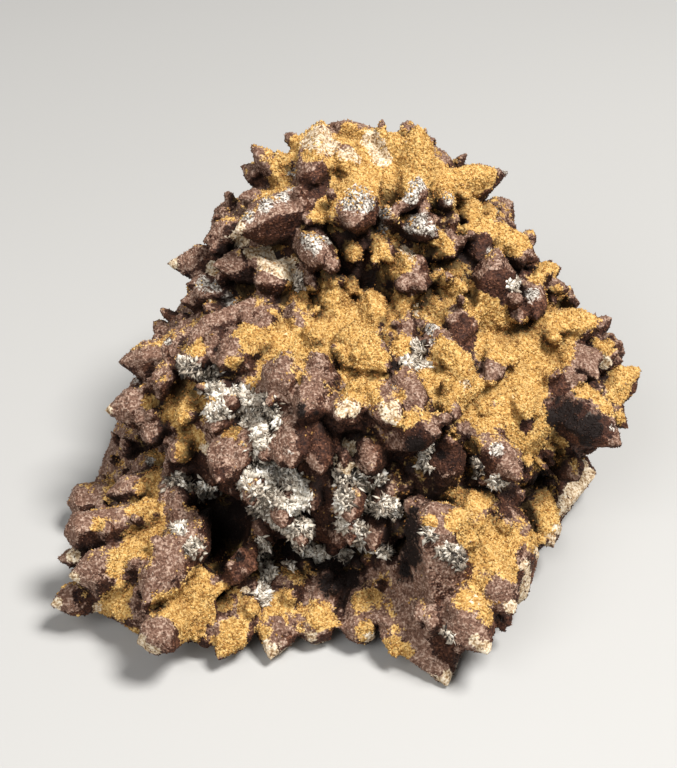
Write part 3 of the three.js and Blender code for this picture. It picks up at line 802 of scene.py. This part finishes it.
def crust_material():
    material, tree, shader = new_material("oxide_crust")
    coordinates = object_coordinates(tree)
    fine = noise_node(tree, coordinates, *FINE_NOISE)
    grain = noise_node(tree, coordinates, *GRAIN_NOISE)
    stain = noise_node(tree, coordinates, *STAIN_NOISE)
    speckled = blend_node(tree, fine, grain, FINE_SHARE)
    mixed = blend_node(tree, speckled, stain, SPECKLE_SHARE)
    tone = spread_tone(tree, speckled)
    brown = ramp_node(tree, spread_tone(tree, mixed), BROWN_STOPS)
    edge = math_node(tree, "MULTIPLY", math_node(tree, "SUBTRACT", tone, 0.5), COAT_RAGGED)

    def coat_share(name):
        return range_node(tree, math_node(tree, "ADD", attribute_node(tree, name), edge), *COAT_RANGE)

    ochre_share = coat_share("ochre")
    # Dust and painted light: paler brown on upward, left-facing and open faces.
    colour = mix_node(tree, coat_share("dust_and_painted_light"), brown, ramp_node(tree, tone, DUST_AND_PAINTED_LIGHT_STOPS))
    colour = mix_node(tree, ochre_share, colour, ramp_node(tree, tone, OCHRE_STOPS))
    colour = mix_node(tree, coat_share("frost"), colour, ramp_node(tree, tone, FROST_STOPS))
    colour = mix_node(tree, coat_share("cream"), colour, ramp_node(tree, tone, CREAM_STOPS))
    below = math_node(tree, "MULTIPLY", coat_share("blades"), BLADE_BED)
    colour = mix_node(tree, below, colour, ramp_node(tree, tone, BLADE_STOPS))
    # Painted shade: the colour goes towards near black where the crust is less open, less so under cream,
    # and fully in the dark zones.
    shade = range_node(tree, attribute_node(tree, "open"), *GAP_RANGE, GAP_SHADE, 0.0)
    clear = range_node(tree, coat_share("cream"), 0, 1, 1.0, CREAM_SHADE)
    shade = math_node(tree, "MULTIPLY", shade, clear)
    shade = math_node(tree, "MAXIMUM", shade, coat_share("dark"))
    colour = mix_node(tree, shade, colour, PAINTED_SHADE_COLOUR)
    tree.links.new(colour, shader.inputs["Base Color"])
    roughness = range_node(tree, ochre_share, 0, 1, CRUST_ROUGHNESS, OCHRE_ROUGHNESS)
    tree.links.new(roughness, shader.inputs["Roughness"])
    bump(tree, shader, speckled, BUMP_HEIGHT, BUMP_STRENGTH)
    return material


def grain_material(name, coats, roughness):
    """Grains with a tone each. The first coat is their colour, and later ones cover it by share."""
    material, tree, shader = new_material(name)
    tone = attribute_node(tree, "tone")
    (_, stops), *others = coats
    colour = ramp_node(tree, tone, stops)
    for share, stops in others:
        colour = mix_node(tree, attribute_node(tree, share), colour, ramp_node(tree, tone, stops))
    tree.links.new(colour, shader.inputs["Base Color"])
    shader.inputs["Roughness"].default_value = roughness
    return material


# Grains and blades

def pyramid_shape():
    """A closed three-sided pyramid of unit height and radius, its foot sunk."""
    turns = np.arange(3) * 2 * math.pi / 3
    foot = np.stack([np.cos(turns), np.sin(turns), np.full(3, GRAIN_FOOT)], axis=1)
    points = np.vstack([foot, [0, 0, 1 + GRAIN_FOOT]])
    return points, np.array([(0, 2, 1), (0, 1, 3), (1, 2, 3), (2, 0, 3)])


def grain_piece(name, surface, weights, count, radii, tones, shares):
    """Small pyramids strewn on the crust, with the shares of the coats below them."""
    points, faces = surface
    at, normals, picks = surface_samples(points, faces, count, weights[faces].mean(axis=1))
    raised = at[:, 2] > GRAIN_FLOOR
    at, normals, picks = at[raised], normals[raised], picks[raised]
    axes = normals + GRAIN_SCATTER * RANDOM.normal(size=at.shape)
    widths = between(radii, len(at))
    shape, shape_faces = pyramid_shape()
    piece = mesh_object(name, *copies(shape, shape_faces, at, axes, GRAIN_HEIGHT * widths, widths))
    set_attribute(piece.data, "tone", np.repeat(between(tones, len(at)), len(shape)))
    for share, values in shares.items():
        set_attribute(piece.data, share, np.repeat(values[faces[picks]].mean(axis=1), len(shape)))
    return piece


def white_blades(surface, weights):
    """Flat spindles that lie on the crust at odds, in clumps of like tone."""
    points, faces = surface
    at, normals, _ = surface_samples(points, faces, BLADES, weights[faces].mean(axis=1))
    raised = at[:, 2] > BLADE_LENGTH[1]
    at, normals = at[raised], normals[raised]
    axes = RANDOM.normal(size=at.shape)
    axes += (BLADE_OUT - BLADE_LAID * np.sum(axes * normals, axis=1))[:, None] * normals
    widths = between(BLADE_WIDTH, len(at))
    shape, shape_faces = spindle_shape(BLADE_BELT)
    shape[:, 2] -= BLADE_SUNK
    lengths = between(BLADE_LENGTH, len(at))
    blades = copies(shape, shape_faces, at, axes, lengths, widths, BLADE_THICKNESS * widths)
    piece = mesh_object("white_blades", *blades)
    clumps = lattice_noise(at, BLADE_TONE_CELLS, BLADE_TONE_SEED)
    tone = BLADE_TONE_SHARE * RANDOM.random(len(at)) + BLADE_TONE_SHARE * clumps - BLADE_TONE_DROP
    set_attribute(piece.data, "tone", np.repeat(tone, len(shape)))
    return piece


def dress(piece, material):
    piece.data.materials.clear()
    piece.data.materials.append(material)
    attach(piece, "root")


def build_cluster():
    mound = base_form()
    crust = crust_piece(mound)
    roughen(crust)
    points, faces, normals = mesh_arrays(crust.data)
    masks = coat_masks(points, faces, normals, mound)
    for name, values in masks.items():
        set_attribute(crust.data, name, values)
    crust.data.polygons.foreach_set("use_smooth", np.ones(len(crust.data.polygons), bool))
    dress(crust, crust_material())
    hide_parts(NODE)

    surface = (points, faces)
    pale = np.maximum(masks["cream"], masks["blades"])
    covered = 1 - PALE_HOLD * pale
    sunlit = SUNLIT_FLOOR + (1 - SUNLIT_FLOOR) * smooth_step(*SUNLIT_EDGE, masks["open"])
    # Painted shade where the crust is less open.
    deep = 1 - smooth_step(*DEEP_EDGE, masks["open"])
    powder = np.clip(masks["ochre"] - OCHRE_START, 0, 1)
    ochre = grain_piece(
        "ochre_grains", surface, powder * covered * sunlit**2 * (1 - masks["dark"]),
        OCHRE_GRAINS, OCHRE_GRAIN_RADIUS, OCHRE_TONES, {"deep": deep},
    )
    # Ochre grains darken towards brown with painted shade in less open places.
    coats = [("", OCHRE_STOPS), ("deep", DEEP_STOPS)]
    dress(ochre, grain_material("ochre_grains", coats, OCHRE_GRAIN_ROUGHNESS))
    # Painted shade on the crust grains: the dark zones and less open places.
    dark = np.maximum(masks["dark"], DEEP_SHARE * deep)
    grains = grain_piece(
        "crust_grains", surface, (CRUST_SPREAD - masks["ochre"]) * covered * sunlit,
        CRUST_GRAINS, CRUST_GRAIN_RADIUS, CRUST_TONES,
        {"dust_and_painted_light": masks["dust_and_painted_light"], "frost": masks["frost"], "dark": dark},
    )
    # The dust coat of the grains carries dust and painted light; the dark coat carries painted shade.
    coats = [("", BROWN_STOPS), ("dust_and_painted_light", DUST_AND_PAINTED_LIGHT_STOPS), ("frost", FROST_STOPS), ("dark", DARK_STOPS)]
    dress(grains, grain_material("crust_grains", coats, CRUST_GRAIN_ROUGHNESS))
    blades = white_blades(surface, masks["blades"] ** 2)
    dress(blades, grain_material("white_blades", [("", BLADE_STOPS)], BLADE_ROUGHNESS))


# Stage, light and camera

FLOOR_HALF = 4
FLOOR_CELLS = 0.4
FLOOR_DETAIL = 2
FLOOR_STOPS = [(0.3, (0.42, 0.42, 0.414)), (0.7, (0.44, 0.44, 0.434))]
FLOOR_ROUGHNESS = 0.7

# Lights: place, size across, power and colour.
LIGHT_AIM = (0, 0, 30 * MM)
KEY = ((0.4, -0.16, 0.92), 0.35, 17, (1, 0.975, 0.94))
FILL = ((-0.5, -0.7, 0.8), 0.8, 7.5, (1, 0.985, 0.97))
STUDIO_COLOUR = (1, 0.99, 0.98, 1)
STUDIO_STRENGTH = 0.16
CAMERA_CLIP = (0.01, 50)


def floor():
    corners = [(-1, -1, 0), (1, -1, 0), (1, 1, 0), (-1, 1, 0)]
    points = FLOOR_HALF * np.array(corners, float)
    ground = mesh_object("floor", points, np.array([(0, 1, 2), (0, 2, 3)]))
    material, tree, shader = new_material("floor")
    shade = noise_node(tree, object_coordinates(tree), FLOOR_CELLS, FLOOR_DETAIL)
    tree.links.new(ramp_node(tree, shade, FLOOR_STOPS), shader.inputs["Base Color"])
    shader.inputs["Roughness"].default_value = FLOOR_ROUGHNESS
    ground.data.materials.append(material)


def area_light(name, place, size, power, colour):
    light = bpy.data.lights.new(name, "AREA")
    light.shape = "DISK"
    light.size = size
    light.energy = power
    light.color = colour
    lamp = bpy.data.objects.new(name, light)
    lamp.location = place
    lamp.rotation_mode = "QUATERNION"
    lamp.rotation_quaternion = (Vector(LIGHT_AIM) - Vector(place)).to_track_quat("-Z", "Y")
    bpy.context.scene.collection.objects.link(lamp)


def light_and_camera():
    area_light("key", *KEY)
    area_light("fill", *FILL)
    world = bpy.data.worlds.new("studio")
    world.use_nodes = True
    background = world.node_tree.nodes["Background"]
    background.inputs["Color"].default_value = STUDIO_COLOUR
    background.inputs["Strength"].default_value = STUDIO_STRENGTH
    bpy.context.scene.world = world
    camera = bpy.data.cameras.new("camera")
    camera.sensor_fit = "AUTO"
    camera.sensor_width = SENSOR
    camera.lens = SENSOR * FOCAL_PIXELS / PICTURE_HEIGHT
    camera.clip_start, camera.clip_end = CAMERA_CLIP
    stand = bpy.data.objects.new("camera", camera)
    stand.location = EYE
    stand.rotation_mode = "QUATERNION"
    stand.rotation_quaternion = LOOK.to_track_quat("-Z", "Y")
    bpy.context.scene.collection.objects.link(stand)
    bpy.context.scene.camera = stand
    bpy.context.scene.view_settings.view_transform = "Standard"


build_cluster()
floor()
light_and_camera()
